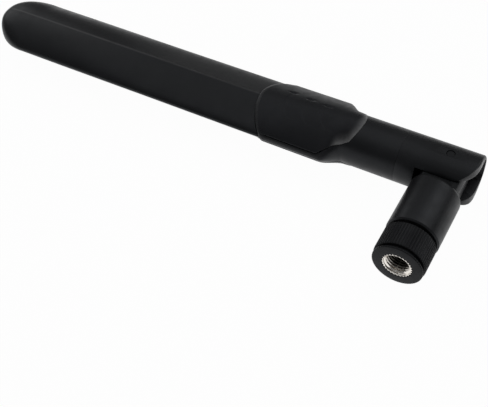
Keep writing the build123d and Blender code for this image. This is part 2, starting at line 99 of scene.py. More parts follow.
# Quarter section: a cubic from the side (width, 0) to the top (0, height). Its first handle
# rises by edge, its second stands out by crown times the width and falls by slope from the top.
def quarterCurve(t, width, height, edge, crownShare, slope):
    reach = crownShare * width
    low, mid, far, top = (1 - t) ** 3, 3 * (1 - t) ** 2 * t, 3 * (1 - t) * t * t, t**3
    across = (low + mid) * width + far * reach
    up = mid * edge + far * (height - slope * reach) + top * height
    return across, up


# Round the section in four quarters: share of the quarter, then the signs of y and z.
def ringShares(steps):
    share = np.arange(steps) / steps
    t = np.concatenate([share, 1 - share, share, 1 - share])
    ySign = np.repeat([1.0, -1.0, -1.0, 1.0], steps)
    zSign = np.repeat([1.0, 1.0, -1.0, -1.0], steps)
    return t, ySign, zSign


# Height of a section over a place y: t is halved in on until the curve stands over y.
def heightOver(y, width, height, edge, crownShare, slope):
    low, high = np.zeros_like(y), np.ones_like(y)
    for step in range(halvings):
        middle = (low + high) / 2
        across, up = quarterCurve(middle, width, height, edge, crownShare, slope)
        outside = across > np.abs(y)
        low, high = np.where(outside, middle, low), np.where(outside, high, middle)
    across, up = quarterCurve((low + high) / 2, width, height, edge, crownShare, slope)
    return np.where(np.abs(y) < width, up, 0.0)


def gridFaces(rows, columns, closeRows=False):
    index = np.arange(rows * columns).reshape(rows, columns)
    if closeRows:
        index = np.concatenate([index, index[:1]])
    following = np.roll(index, -1, axis=1)
    return np.stack([index[:-1], following[:-1], following[1:], index[1:]], axis=-1).reshape(-1, 4)


# the point attribute passed in here says how much painted light the material lays on each point
def addPiece(name, points, faces, body, slotName, replaced, sharp=40, paintedLight=None):
    mesh = bpy.data.meshes.new(name)
    mesh.from_pydata((points.reshape(-1, 3) * mm).tolist(), [], faces.tolist())
    layer = mesh.attributes.new("paintedLight", "FLOAT", "POINT")
    if paintedLight is not None:
        layer.data.foreach_set("value", np.ravel(paintedLight))
    shape = bmesh.new()
    shape.from_mesh(mesh)
    bmesh.ops.remove_doubles(shape, verts=shape.verts, dist=1e-8)
    bmesh.ops.recalc_face_normals(shape, faces=shape.faces)
    shape.to_mesh(mesh)
    shape.free()
    mesh.shade_smooth()
    mesh.set_sharp_from_angle(angle=np.radians(sharp))
    piece = bpy.data.objects.new(name, mesh)
    scene.collection.objects.link(piece)
    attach(piece, body)
    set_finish(piece, slotName)
    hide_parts(replaced)
    print("piece", name, len(mesh.polygons), "faces")
    return piece


# Grid normals: the cross product of the two grid directions, turned away from the X axis line.
def gridNormals(points):
    along = np.gradient(points, axis=0)
    around = (np.roll(points, -1, axis=1) - np.roll(points, 1, axis=1)) / 2
    normal = np.cross(along, around)
    normal /= np.linalg.norm(normal, axis=-1, keepdims=True) + 1e-12
    outward = (normal[..., 1:] * points[..., 1:]).sum(-1, keepdims=True)
    return normal * np.where(outward < 0, -1.0, 1.0)


neck = dict(
    lipFront=-50.3, lipSide=-46.3, lipRamp=1.8, lipHalfWidth=9.8, lipHeight=4.97, lipEdge=2.1,
    lipLength=0.9, lipDrop=0.34, endRound=0.1, roundSteps=6,
    halfWidth=10.15, edge=1.55, crown=0.4, taperLead=1.0,
    shoulder=-31.0, shoulderHeight=7.0, drop=-29.3, foot=-24.7,
    socketGap=0.05, socketRoom=0.3, boreRadius=4.55, boreLength=4.55, cableHoleRadius=1.15,
    quarterSteps=70, rowCounts=(110, 56, 50, 26), footMargin=0.6, endMargin=0.4,
    leadFade=3.0, tailFade=6.5,  # how far the rows stay bowed with the lip and the crown's end
    # painted highlight on the lip's round, and painted light on the side band beside the pad
    lipHighlight=0.4, sideLight=0.9, sideLightEdge=1.5, sideLightPast=3.0, sideLightFade=4.0,
)
crown = dict(
    halfWidth=9.65, corner=-30.6, waist=-26.2, waistHalfWidth=6.45, tail=-23.4, tailHalfWidth=5.15,
    end=-21.6, slabHalfWidth=6.15, slabHeight=7.2, roll=2.0, rollPower=1.7,
    cornerPull=0.62, tailPull=0.4, tailSlope=0.16,  # tangents of the plan's eased cubics
)


# Leading edge of the sleeve: an arc across the blade, flat past the crown's sides.
def lipLine(y):
    bulge = neck["lipSide"] - neck["lipFront"]
    radius = (crown["halfWidth"] ** 2 + bulge**2) / (2 * bulge)
    inside = np.minimum(np.abs(y), crown["halfWidth"])
    return neck["lipFront"] + radius - np.sqrt(radius**2 - inside**2)


blade = dict(
    halfWidth=9.75, edge=1.35, crown=0.68, slope=0.33,  # section over most of the blade
    tipHeight=4.5, tipEdge=1.5, tipCrown=0.56, tipLength=11.8,
    noseBluntness=4.6, noseEdge=3.0, noseCrown=0.9, noseCrowding=1.6,
    ridgeFade=22.1, ridgeFull=58.1,  # behind the tip
    wall=1.35, end=-36.0, spigotStep=0.95,
    boreBeforeLip=5.0, roomBeforeLip=9.0, roomBehindDome=1.0,  # the bore widens into the room
    quarterSteps=44, domeRows=44, fadeRows=40, runRows=30, roomRows=24, innerNoseRows=12,
)


# Blade sizes at x: the ridge share r eases from 0 behind the tip to 1, and mixes the two sections.
def bladeSizes(x, inset=0.0):
    ridge = eased((x - bladeTip - blade["ridgeFade"]) / (blade["ridgeFull"] - blade["ridgeFade"]))
    full = ridge * bladeHeight + (1 - ridge) * blade["tipHeight"]
    edge = (ridge * blade["edge"] + (1 - ridge) * blade["tipEdge"]) * (full - inset) / full
    share = ridge * blade["crown"] + (1 - ridge) * blade["tipCrown"]
    return blade["halfWidth"] - inset, full - inset, edge, share, ridge * blade["slope"]


# Blade skin: sections in rows along X. In the nose the width falls as a circle's cosine, and the
# height as (1 - s^n)^(1/n) with s the share of the nose and n its bluntness.
def makeBlade():
    t, ySign, zSign = ringShares(blade["quarterSteps"])
    dome = bladeTip + blade["tipLength"]

    # a run of sections at x, one row each, whose x may differ along the row
    def sections(x, inset):
        width, height, edge, share, slope = bladeSizes(x, inset)
        across, up = quarterCurve(t, width, height, edge, share, slope)
        return np.stack(np.broadcast_arrays(x, ySign * across, zSign * up), axis=-1)

    def noseSections(count, length, inset):
        width, height, edge, share, slope = bladeSizes(dome, inset)
        turn = (np.pi / 2) * (1 - np.linspace(0, 1, count) ** blade["noseCrowding"])[:, None]
        out = np.sin(turn)
        fall = np.maximum(1 - out ** blade["noseBluntness"], 0) ** (1 / blade["noseBluntness"])
        noseEdge = (edge + (blade["noseEdge"] - edge) * out) * fall
        noseCrown = share + (blade["noseCrown"] - share) * out
        across, up = quarterCurve(t, width * np.cos(turn), height * fall, noseEdge, noseCrown, slope)
        return np.stack(np.broadcast_arrays(dome - length * out, ySign * across, zSign * up), axis=-1)

    nose = noseSections(blade["domeRows"], blade["tipLength"], 0.0)
    fadeEnd = bladeTip + blade["ridgeFull"]
    fade = sections(np.linspace(dome, fadeEnd, blade["fadeRows"])[1:, None], 0.0)
    lip = lipLine(ySign * fade[-1, :, 1])
    share = np.linspace(0, 1, blade["runRows"])[1:, None]
    run = sections(fadeEnd + (lip - fadeEnd) * share, 0.0)
    inner = blade["spigotStep"]
    end, lipFront = np.full_like(lip, blade["end"]), neck["lipFront"]
    spigot = sections(np.stack([lip, end]), inner)
    boreRows = np.stack([end, np.full_like(lip, lipFront - blade["boreBeforeLip"])])
    bore = sections(boreRows, blade["wall"] + inner)
    roomStart, roomEnd = lipFront - blade["roomBeforeLip"], dome + blade["roomBehindDome"]
    room = sections(np.linspace(roomStart, roomEnd, blade["roomRows"])[:, None], blade["wall"])
    innerNose = noseSections(blade["innerNoseRows"], blade["tipLength"] - blade["wall"], blade["wall"])[::-1]
    points = np.concatenate([nose, fade, run, spigot, bore, room, innerNose])
    faces = gridFaces(*points.shape[:2])
    return addPiece("bladeShell", points + hinge, faces, "arm", "shell", "radome_blade", 50)


# Sleeve sizes at x: straight tapers up to the shoulder, then an eased drop to the round tube.
def sleeveSizes(x):
    start = neck["lipFront"] - neck["taperLead"]
    taper = np.minimum((x - start) / (neck["shoulder"] - start), 1.0)
    height = neck["lipHeight"] + (neck["shoulderHeight"] - neck["lipHeight"]) * taper
    edge = neck["lipEdge"] + (neck["edge"] - neck["lipEdge"]) * taper
    ramp = eased((x - neck["lipSide"]) / neck["lipRamp"])
    width = neck["lipHalfWidth"] + (neck["halfWidth"] - neck["lipHalfWidth"]) * ramp
    return width, height, edge, neck["crown"] + 0 * x


def mixedSizes(x, target):
    share = eased((x - neck["drop"]) / (neck["foot"] - neck["drop"]))
    return [a + (b - a) * share for a, b in zip(sleeveSizes(x), target)] + [0.0]


def neckSizes(x):
    return mixedSizes(x, (tubeRadius, tubeRadius, tubeRadius * roundHandle, roundHandle))


def crownSizes(x):
    height = crown["slabHeight"]
    return mixedSizes(x, (crown["slabHalfWidth"], height, height * roundHandle, roundHandle))


pad = dict(
    leadMargin=0.98, sideMargin=0.08, proud=0.12, thickness=0.9, recess=0.6, recessWidth=0.22,
    rimRoll=0.22, leadRoll=0.3, leadRollFade=3.0,  # the rim's roll, and its share at the lead
    groove=0.3, grooveLeadStart=1.0, grooveLeadFade=1.5, grooveTailFade=3.0,
    centre=-36.5, rimPoints=600, planSteps=200, rings=120, ringCrowding=1.6, underStart=9, underStep=10,
    scoops=[(-43.4, 3.2, -5.0), (-38.1, 2.1, -5.2), (-32.9, 1.2, -5.0)],  # arc's middle, top y, low y
    scoopDepth=0.11, scoopLength=4.2, scoopBow=1.9, scoopLean=0.25, scoopEdge=0.7,
    notchDepth=0.36, notchLength=1.0, notchWidth=0.38,  # the dark nick at each scoop's upper end
    # painted highlight on the pad's rim towards the tail
    rimHighlightPower=2.0, rimHighlightStart=1.6, rimHighlightFade=2.0,
)


# Plan of the pad, one closed run of points: the lead's arc, straight flanks, two eased cubics
# in to the tail and an arc round its end.
def padPlan():
    sideMargin = pad["sideMargin"]
    half = crown["halfWidth"] - sideMargin
    front, side = neck["lipFront"] + pad["leadMargin"], neck["lipSide"] + pad["leadMargin"]
    corner, waistX, tailX = [crown[k] - sideMargin / 2 for k in ("corner", "waist", "tail")]
    waist, tail = crown["waistHalfWidth"] - sideMargin, crown["tailHalfWidth"] - sideMargin
    end = crown["end"] - sideMargin
    share = np.linspace(0, 1, pad["planSteps"])[:, None]

    def cubic(a, b, tangentA, tangentB):
        a, b, tangentA, tangentB = [np.array(v, float) for v in (a, b, tangentA, tangentB)]
        s = share
        return ((2 * s**3 - 3 * s**2 + 1) * a + (s**3 - 2 * s**2 + s) * tangentA
                + (3 * s**2 - 2 * s**3) * b + (s**3 - s**2) * tangentB)

    def arc(edgeX, halfSpan, middleX):
        bulge = abs(middleX - edgeX)
        radius = (halfSpan**2 + bulge**2) / (2 * bulge)
        y = halfSpan * share[:, 0]
        drop = radius - np.sqrt(radius**2 - y**2)
        return np.stack([middleX + np.sign(edgeX - middleX) * drop, y], axis=-1)

    step = tailX - corner
    middleTangent = (step / 2, (tail - half) / 2)
    lead = arc(side, half, front)
    flank = np.array([(side, half), (corner, half)])
    tailTangent = (step * crown["tailPull"], -step * crown["tailSlope"])
    dropA = cubic((corner, half), (waistX, waist), (step * crown["cornerPull"], 0), middleTangent)
    dropB = cubic((waistX, waist), (tailX, tail), middleTangent, tailTangent)
    tailArc = arc(tailX, tail, end)[::-1]
    upper = np.concatenate([lead, flank, dropA, dropB, tailArc])
    outline = np.concatenate([upper, (upper * (1, -1))[::-1]])
    length = np.concatenate([[0], np.cumsum(np.linalg.norm(np.diff(outline, axis=0), axis=1))])
    at = np.linspace(0, length[-1], pad["rimPoints"] + 1)[:-1]
    return np.stack([np.interp(at, length, outline[:, k]) for k in (0, 1)], axis=-1)


# Signed plan distance to an outline, positive inside: the nearest of its segments, and the
# side by the winding of the polygon round the point. Also gives the direction to the outline.
def planDistance(x, y, outline):
    flat = np.stack([x.ravel(), y.ravel()], axis=-1)
    following = np.roll(outline, -1, axis=0)
    span = following - outline
    distance, direction = np.empty(len(flat)), np.empty((len(flat), 2))
    for start in range(0, len(flat), chunk):
        part = flat[start:start + chunk, None]
        along = ((part - outline) * span).sum(-1) / (span**2).sum(-1)
        away = part - outline - np.clip(along, 0, 1)[..., None] * span
        size = np.linalg.norm(away, axis=-1)
        nearest = size.argmin(1)
        pick = np.arange(len(nearest))
        crossing = (outline[:, 1] > part[..., 1]) != (following[:, 1] > part[..., 1])
        rise = np.where(span[:, 1] == 0, 1e-9, span[:, 1])
        meet = outline[:, 0] + span[:, 0] * (part[..., 1] - outline[:, 1]) / rise
        inside = (crossing & (part[..., 0] < meet)).sum(1) % 2 == 1
        reach = size[pick, nearest]
        distance[start:start + chunk] = np.where(inside, 1, -1) * reach
        direction[start:start + chunk] = away[pick, nearest] / (reach[:, None] + 1e-9)
    return distance.reshape(x.shape), direction.reshape(*x.shape, 2)


# How far the crown stands over the neck: the crown's own section less the neck's, rolled off
# as 1 - (1 - s)^p over the last part before its outline.
def crownRise(x, y, neckHeight):
    over = np.maximum(heightOver(y, *crownSizes(x)) - neckHeight, 0)
    distance = planDistance(x, y, padPlan())[0]
    share = np.clip(distance / crown["roll"], 0, 1)
    return over * (1 - (1 - share) ** crown["rollPower"])


# Neck skin: rows run from the lip's rounded front over the sleeve and the round tube, then back
# inside through the bore, the cable hole and the blade's socket.
def makeNeck():
    t, ySign, zSign = ringShares(neck["quarterSteps"])
    lipSizes = neck["lipHalfWidth"], neck["lipHeight"], neck["lipEdge"], neck["crown"]
    lip = lipLine(quarterCurve(t, *lipSizes, 0.0)[0])
    tubeY = quarterCurve(t, tubeRadius, tubeRadius, tubeRadius * roundHandle, roundHandle, 0.0)[0]

    def sections(x, inset=0.0):
        width, height, edge, share, slope = neckSizes(x)
        across, up = quarterCurve(t, width - inset, height - inset, edge, share, slope)
        return np.stack(np.broadcast_arrays(x, ySign * across, zSign * up), axis=-1)

    def roundSections(x, radius):
        across, up = quarterCurve(t, radius, radius, radius * roundHandle, roundHandle, 0.0)
        return np.stack(np.broadcast_arrays(x, ySign * across, zSign * up), axis=-1)

    # rows follow the lip's arc at the front and the crown's end arc at the tail
    front, end = neck["lipFront"] + neck["lipLength"], crown["end"]
    foot, tubeStart = neck["foot"] + neck["footMargin"], end + neck["endMargin"]
    stops = [front, neck["shoulder"], foot, tubeStart, neckEnd - neck["endRound"]]
    runs = [np.linspace(a, b, n) for a, b, n in zip(stops, stops[1:], neck["rowCounts"])]
    rows = np.concatenate([runs[0]] + [run[1:] for run in runs[1:]])[:, None]
    leadEnd = neck["shoulder"] - neck["leadFade"]
    leadShare = np.clip((leadEnd - rows) / (leadEnd - front), 0, 1)
    tailShare = np.clip(1 - np.abs(rows - end) / neck["tailFade"], 0, 1)
    tailBow = (crown["tail"] - end) * np.minimum(tubeY / crown["tailHalfWidth"], 1) ** 2
    x = rows + leadShare * (lip - neck["lipFront"]) + tailShare * tailBow
    skin = sections(x)

    # the seat of the pad is sunk along the surface normal, with a groove left beside its flanks
    normal = gridNormals(skin)
    distance, direction = planDistance(x, skin[..., 1], padPlan())
    towards = np.abs((normal[..., :2] * direction).sum(-1))
    slopeAcross = towards / np.maximum(np.abs(normal[..., 2]), steepest)
    distance = distance * np.sqrt(1 + slopeAcross**2)
    # the groove closes towards the lead and the tail, where the neck runs in under the rim
    beside = eased((crown["tail"] - x) / pad["grooveTailFade"])
    beside = beside * eased((x - neck["lipSide"] - pad["grooveLeadStart"]) / pad["grooveLeadFade"])
    room = pad["groove"] * (2 * beside - 1)
    skin -= normal * (pad["recess"] * eased((distance + room) / pad["recessWidth"]))[..., None]

    # quarter rounds at the lip's front and at the tube's end
    turn = np.linspace(0, np.pi / 2, neck["roundSteps"])[:, None]
    back, sunk = 1 - np.sin(turn), 1 - np.cos(turn)
    lipWall = sections(lip + neck["lipLength"] * back, neck["lipDrop"] * sunk)[::-1]
    endEdge = neck["endRound"]
    tubeEnd = roundSections(neckEnd - endEdge * back[1:], tubeRadius - endEdge * sunk[1:])

    inset = blade["spigotStep"] - neck["socketGap"]
    width, height, edgeHandle, share, slope = bladeSizes(neck["lipFront"], inset)
    across, up = quarterCurve(t, width, height, edgeHandle, share, slope)
    socketEnd = blade["end"] + neck["socketRoom"]
    socketX = np.stack([np.full_like(lip, socketEnd), lip])
    socket = np.stack(np.broadcast_arrays(socketX, ySign * across, zSign * up), axis=-1)
    boreEnd = neckEnd - neck["boreLength"]
    bore = roundSections(np.array([[neckEnd], [boreEnd]]), neck["boreRadius"])
    hole = roundSections(np.array([[boreEnd], [socketEnd]]), neck["cableHoleRadius"])
    points = np.concatenate([lipWall, skin, tubeEnd, bore, hole, socket])
    faces = gridFaces(*points.shape[:2], True)
    paintedLight = np.zeros(points.shape[:2])
    # painted highlight on the lip's rounded front
    lipRows = len(lipWall)
    paintedLight[2:lipRows] = neck["lipHighlight"]  # the lip but for its first two rows
    # painted light on the side band outside the pad's outline, ahead of the crown's corner
    side = eased(-distance / neck["sideLightEdge"])
    side = side * eased((crown["corner"] + neck["sideLightPast"] - x) / neck["sideLightFade"])
    paintedLight[lipRows:lipRows + len(skin)] = neck["sideLight"] * side
    return addPiece("neckBody", points + hinge, faces, "arm", "shell", "grip_neck", 40, paintedLight)


# Finger scoops: behind an arc bowed to the tip the surface is sunk at once and comes back up
# over scoopLength, the ends of the arc taper it out, and a small bell-shaped notch marks its top.
def scoopDepth(x, y):
    depth, notch = np.zeros_like(x), np.zeros_like(x)
    for middleX, topY, lowY in pad["scoops"]:
        centre, half = (topY + lowY) / 2, (topY - lowY) / 2
        reach = (y - centre) / half
        edgeX = middleX + pad["scoopBow"] * reach**2 - pad["scoopLean"] * (y - centre)
        behind = (x - edgeX) / pad["scoopLength"]
        fall = eased((x - edgeX) / pad["scoopEdge"]) * np.clip(1 - behind, 0, 1) ** 2
        ends = np.sqrt(np.clip(1 - reach**2, 0, 1))
        depth = np.maximum(depth, fall * ends)
        topX = middleX + pad["scoopBow"] - pad["scoopLean"] * half
        away = ((x - topX) / pad["notchLength"]) ** 2 + ((y - topY) / pad["notchWidth"]) ** 2
        notch += np.exp(-away)
    return depth * pad["scoopDepth"] + notch * pad["notchDepth"]


# Pad: rings of its plan shrunk towards a centre, lifted to the crown's height, with the rim
# rolled off as a quarter circle; a skirt and a floor close it below.
def makePads():
    outline = padPlan()
    centre = np.array([pad["centre"], 0.0])
    # rings crowd towards the rim
    size = 1 - (1 - np.linspace(0, 1, pad["rings"])) ** pad["ringCrowding"]
    plan = centre + size[:, None, None] * (outline - centre)
    x, y = plan[..., 0], plan[..., 1]
    neckHeight = heightOver(y, *neckSizes(x))
    height = neckHeight + crownRise(x, y, neckHeight)
    top = np.stack([x, y, height], axis=-1)
    along = np.gradient(top, axis=0)
    around = (np.roll(top, -1, axis=1) - np.roll(top, 1, axis=1)) / 2
    normal = np.cross(along, around)
    normal[0] = (0, 0, 1)
    normal *= np.sign(normal[..., 2:] + 1e-12)
    normal /= np.linalg.norm(normal, axis=-1, keepdims=True)
    gap = np.linalg.norm(top - top[-1], axis=-1)  # along each spoke to the rim
    pastLead = eased((outline[:, 0] - neck["lipSide"]) / pad["leadRollFade"])
    rimRoll = pad["rimRoll"] * (pad["leadRoll"] + (1 - pad["leadRoll"]) * pastLead)
    rolled = rimRoll * (1 - np.sqrt(1 - (1 - np.clip(gap / rimRoll, 0, 1)) ** 2))
    lift = pad["proud"] - rolled - scoopDepth(x, y)
    upper = top + normal * lift[..., None]
    skirt = top[-1] - normal[-1] * pad["thickness"] * (0, 0, 1)
    inward = slice(-pad["underStart"], None, -pad["underStep"])
    floor = centre + size[inward, None, None] * (skirt[:, :2] - centre)
    floorZ = top[inward, :, 2] - pad["thickness"]
    under = np.concatenate([floor, floorZ[..., None]], axis=-1)
    pole = under[-1:].mean(1, keepdims=True) + 0 * under[-1:]
    points = np.concatenate([upper, skirt[None], under, pole])
    faces = gridFaces(*points.shape[:2])
    low = points * (1, 1, -1)
    # painted highlight on the pad's rim near the tail, laid in the point attribute
    paintedLight = np.zeros(points.shape[:2])
    edge = 1 - np.clip(planDistance(x, y, outline)[0] / crown["roll"], 0, 1)
    atTail = eased((x - crown["waist"] + pad["rimHighlightStart"]) / pad["rimHighlightFade"])
    paintedLight[:len(upper)] = edge ** pad["rimHighlightPower"] * atTail
    return [addPiece("padUpper", points + hinge, faces, "arm", "pad", "grip_pad_upper", 40, paintedLight),
            addPiece("padLower", low + hinge, faces, "arm", "pad", "grip_pad_lower", 40, paintedLight)]


# Points of a body turned about the Y axis: radius and place by rows, angle by columns.
def turnedPoints(radius, place, angle):
    return np.stack(np.broadcast_arrays(radius * np.cos(angle), place, radius * np.sin(angle)), axis=-1)


ring = dict(
    faceRadius=6.02, faceThickness=0.5, faceEdge=0.22, faceRibDepth=0.06,
    faceLand=0.3, faceBackEdge=0.12, grooveWidth=0.7, grooveRadius=5.42,
    ribs=58, ribDepth=0.17, ribPower=0.8, ribEdge=0.3, ribRows=8, samplesPerRib=8,
    ribRowsStart=0.7, ribRowsEnd=0.4,  # from the groove and from the back
    edgeSteps=5, backWall=0.55, backHole=3.3,
)


# Ribbed ring: rows carry (radius, place along Y, depth of the ribs); the rib is a rounded
# wave of the angle, and every row is one closed turn.
def makeRing():
    edge, face, rib, faceRib = [ring[k] for k in ("faceEdge", "faceThickness", "ribDepth", "faceRibDepth")]
    small, broad, back = ring["faceBackEdge"], ring["ribEdge"], nutLength - ring["backWall"]
    ribStart, faceRadius = face + ring["grooveWidth"], ring["faceRadius"]
    faceOut, ridge = faceRadius - edge, ringRadius - broad
    bend = [(np.sin(a), np.cos(a)) for a in np.linspace(0, np.pi / 2, ring["edgeSteps"])]
    rows = [(insertRadius, 0.0, 0.0), (insertRadius + ring["faceLand"], 0.0, 0.0)]
    rows += [(faceOut + edge * s, edge - edge * c, faceRib * s) for s, c in bend]
    rows += [(faceRadius - small + small * c, face - small + small * s, faceRib) for s, c in bend]
    rows += [(ring["grooveRadius"], face, 0.0), (ring["grooveRadius"], ribStart, 0.0)]
    rows += [(ridge + broad * s, ribStart + broad - broad * c, rib * s) for s, c in bend]
    ribEnds = ribStart + ring["ribRowsStart"], nutLength - ring["ribRowsEnd"]
    rows += [(ringRadius, y, rib) for y in np.linspace(*ribEnds, ring["ribRows"])]
    rows += [(ridge + broad * c, nutLength - broad + broad * s, rib * c) for s, c in bend]
    rows += [(ring["backHole"], nutLength, 0.0), (ring["backHole"], back, 0.0), (insertRadius, back, 0.0)]
    profile = np.array(rows)
    count = ring["ribs"] * ring["samplesPerRib"]
    angle = 2 * np.pi * np.arange(count) / count
    wave = (0.5 - 0.5 * np.cos(angle * ring["ribs"])) ** ring["ribPower"]
    radius = profile[:, :1] - profile[:, 2:] * (1 - wave)
    points = turnedPoints(radius, profile[:, 1:2], angle)
    return addPiece("nutRing", points, gridFaces(*points.shape[:2], True), "nut", "nut", "grip_ring", 30)


insert = dict(
    bore=2.85, root=3.2, mouth=3.18, mouthStep=0.05, chamfer=0.4, pitch=0.7, threadEnd=4.6,
    rootFlat=0.12, flankShare=0.7, runOut=0.5, rowsPerPitch=14, turnSamples=336,
    reliefRadius=3.15, reliefEnd=6.4, flangeHole=2.56, ribs=28, ribDepth=0.13,
    toothDepth=0.28, toothPower=1.5, pocketDepth=0.85,
    beadHeight=0.16, beadWidth=0.12, beadPower=0.5, beadSteps=9,
)


# Threaded insert: inside, the radius is the bore plus a triangle wave of y / pitch - turns,
# flattened at crest and root; outside, ribs end as teeth round the mouth that stand out by a
# wave of the angle from a thin ring, and a half wave rounds teeth and ring over.
def makeInsert():
    y = np.arange(insert["chamfer"], insert["threadEnd"], insert["pitch"] / insert["rowsPerPitch"])[:, None]
    turns = (np.arange(insert["turnSamples"]) / insert["turnSamples"])[None]
    wave = np.abs(((y / insert["pitch"] - turns) % 1) * 2 - 1)
    cut = np.clip((wave - insert["rootFlat"]) / insert["flankShare"], 0, 1)
    fade = np.clip((insert["threadEnd"] - y) / insert["runOut"], 0, 1)
    thread = insert["bore"] + (insert["root"] - insert["bore"]) * cut * fade
    crest = 1 - np.abs(((turns * insert["ribs"]) % 1) * 2 - 1)
    crest = np.sin(crest * np.pi / 2)
    outer = insertRadius - insert["ribDepth"] * (1 - crest)
    flat = np.ones_like(turns)

    # rows of (radius, place), each one turn; a place may change round the turn
    def row(radius, place):
        return radius * flat, place * flat

    across = np.linspace(0, 1, insert["beadSteps"])[:, None]
    tooth = insertRadius - insert["toothDepth"] * (1 - crest ** insert["toothPower"])
    lip = insertRadius - insert["toothDepth"] - insert["beadWidth"]
    beadRadius = tooth + (lip - tooth) * across
    beadPlace = insert["beadHeight"] * (1 - np.sin(np.pi * across) ** insert["beadPower"]) * flat
    pocket = insert["pocketDepth"]
    entry = [row(outer, insertLength), row(outer, pocket), row(tooth, pocket), (beadRadius, beadPlace)]
    step, threadEnd, reliefEnd = [insert[k] for k in ("mouthStep", "threadEnd", "reliefEnd")]
    entry += [row(insert["mouth"], insert["beadHeight"] + step)]
    entry += [row(insert["mouth"], insert["chamfer"] - step)]
    exitRows = [row(insert["bore"], threadEnd), row(insert["reliefRadius"], threadEnd),
                row(insert["reliefRadius"], reliefEnd), row(insert["flangeHole"], reliefEnd),
                row(insert["flangeHole"], insertLength)]
    radius = np.concatenate([r for r, _ in entry] + [thread] + [r for r, _ in exitRows])
    place = np.concatenate([p for _, p in entry] + [y * flat] + [p for _, p in exitRows])
    points = turnedPoints(radius, place, 2 * np.pi * turns)
    faces = gridFaces(*points.shape[:2], True)
    return addPiece("nutInsert", points, faces, "nut", "nickel", "threaded_insert", 28)


# A CAD solid with its sharp edges broken: merged copy, flats joined, then a small bevel.
# reshape may move the points first, and cuts are the places on X that get rows of points for it.
def roundedCopy(name, node, body, slotName, width, reshape=None, cuts=()):
    mesh = nodes[node].data.copy()
    mesh.name = name
    shape = bmesh.new()
    shape.from_mesh(mesh)
    bmesh.ops.remove_doubles(shape, verts=shape.verts, dist=1e-6)
    bmesh.ops.dissolve_limit(shape, angle_limit=np.radians(0.5), verts=shape.verts, edges=shape.edges)
    for cut in cuts:
        whole = [*shape.verts, *shape.edges, *shape.faces]
        bmesh.ops.bisect_plane(shape, geom=whole, dist=1e-7, plane_co=(cut * mm, 0, 0), plane_no=(1, 0, 0))
    bmesh.ops.recalc_face_normals(shape, faces=shape.faces)
    shape.to_mesh(mesh)
    shape.free()
    if reshape:
        flat = np.empty(len(mesh.vertices) * 3)
        mesh.vertices.foreach_get("co", flat)
        mesh.vertices.foreach_set("co", reshape(flat.reshape(-1, 3) / mm).ravel() * mm)
        mesh.update()
    mesh.shade_smooth()
    piece = bpy.data.objects.new(name, mesh)
    scene.collection.objects.link(piece)
    bevel = piece.modifiers.new("brokenEdges", "BEVEL")
    bevel.width = width * mm
    bevel.segments = bevelSegments
    bevel.limit_method = "ANGLE"
    bevel.angle_limit = bevelAngle
    bevel.harden_normals = True
    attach(piece, body)
    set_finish(piece, slotName)
    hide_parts(node)
    print("piece", name, len(mesh.polygons), "faces before its bevel")
    return piece


barrel = dict(
    shoulderRound=1.3, shoulderFromHinge=7.6, slack=0.05, tongueReach=3.0,
    rise=0.85, riseStart=-0.3, riseLength=3.8, cuts=(-4.25, 0.0, 0.5),  # first, past the last, step
)


# The barrel's rounded shoulder comes up by an eased step on the side that swings past the
# ears' cut corners, so that it hugs them.
def raisedShoulder(points):
    top, slack = hinge[1] - barrel["shoulderFromHinge"], barrel["slack"]
    onShoulder = (points[:, 1] > top - barrel["shoulderRound"] - slack) & (points[:, 1] < top + slack)
    outside = np.hypot(points[:, 0], points[:, 2]) > barrel["tongueReach"]
    rise = barrel["rise"] * eased((barrel["riseStart"] - points[:, 0]) / barrel["riseLength"])
    moved = points.copy()
    moved[:, 1] += np.where(onShoulder & outside, rise, 0)
    return moved


pieces = [
    makeBlade(), makeNeck(), *makePads(), makeRing(), makeInsert(),
    roundedCopy("forkBody", "hinge_fork", "arm", "shell", 0.07),
    roundedCopy("barrelBody", "knuckle_barrel", "barrel", "shell", 0.1, raisedShoulder,
                np.arange(*barrel["cuts"])),
]


# materials: every one is worked out from Object coordinates and the point attribute of painted light
def newMaterial(name, colour, roughness, metallic=0.0, specular=0.5):
    material = bpy.data.materials.new(name)
    material.use_nodes = True
    tree = material.node_tree
    shader = tree.nodes["Principled BSDF"]
    shader.inputs["Base Color"].default_value = (*colour, 1)
    shader.inputs["Roughness"].default_value = roughness
    shader.inputs["Metallic"].default_value = metallic
    shader.inputs["Specular IOR Level"].default_value = specular
    return material, tree, shader


def noiseNode(tree, scale, detail, roughness=0.5):
    coordinates = tree.nodes.new("ShaderNodeTexCoord")
    noise = tree.nodes.new("ShaderNodeTexNoise")
    noise.inputs["Scale"].default_value = scale
    noise.inputs["Detail"].default_value = detail
    noise.inputs["Roughness"].default_value = roughness
    tree.links.new(coordinates.outputs["Object"], noise.inputs["Vector"])
    return noise


def rampNode(tree, source, low, high, start=0.35, stop=0.65):
    ramp = tree.nodes.new("ShaderNodeMapRange")
    ramp.inputs["From Min"].default_value = start
    ramp.inputs["From Max"].default_value = stop
    ramp.inputs["To Min"].default_value = low
    ramp.inputs["To Max"].default_value = high
    tree.links.new(source, ramp.inputs["Value"])
    return ramp.outputs["Result"]


# low is a colour or the socket of one
def mixNode(tree, factor, low, high):
    mix = tree.nodes.new("ShaderNodeMix")
    mix.data_type = "RGBA"
    mix.inputs["B"].default_value = (*high, 1)
    if isinstance(low, tuple):
        mix.inputs["A"].default_value = (*low, 1)
    else:
        tree.links.new(low, mix.inputs["A"])
    tree.links.new(factor, mix.inputs["Factor"])
    return mix.outputs["Result"]


def bumpNode(tree, height, distance):
    bump = tree.nodes.new("ShaderNodeBump")
    bump.inputs["Distance"].default_value = distance
    tree.links.new(height, bump.inputs["Height"])
    return bump.outputs["Normal"]


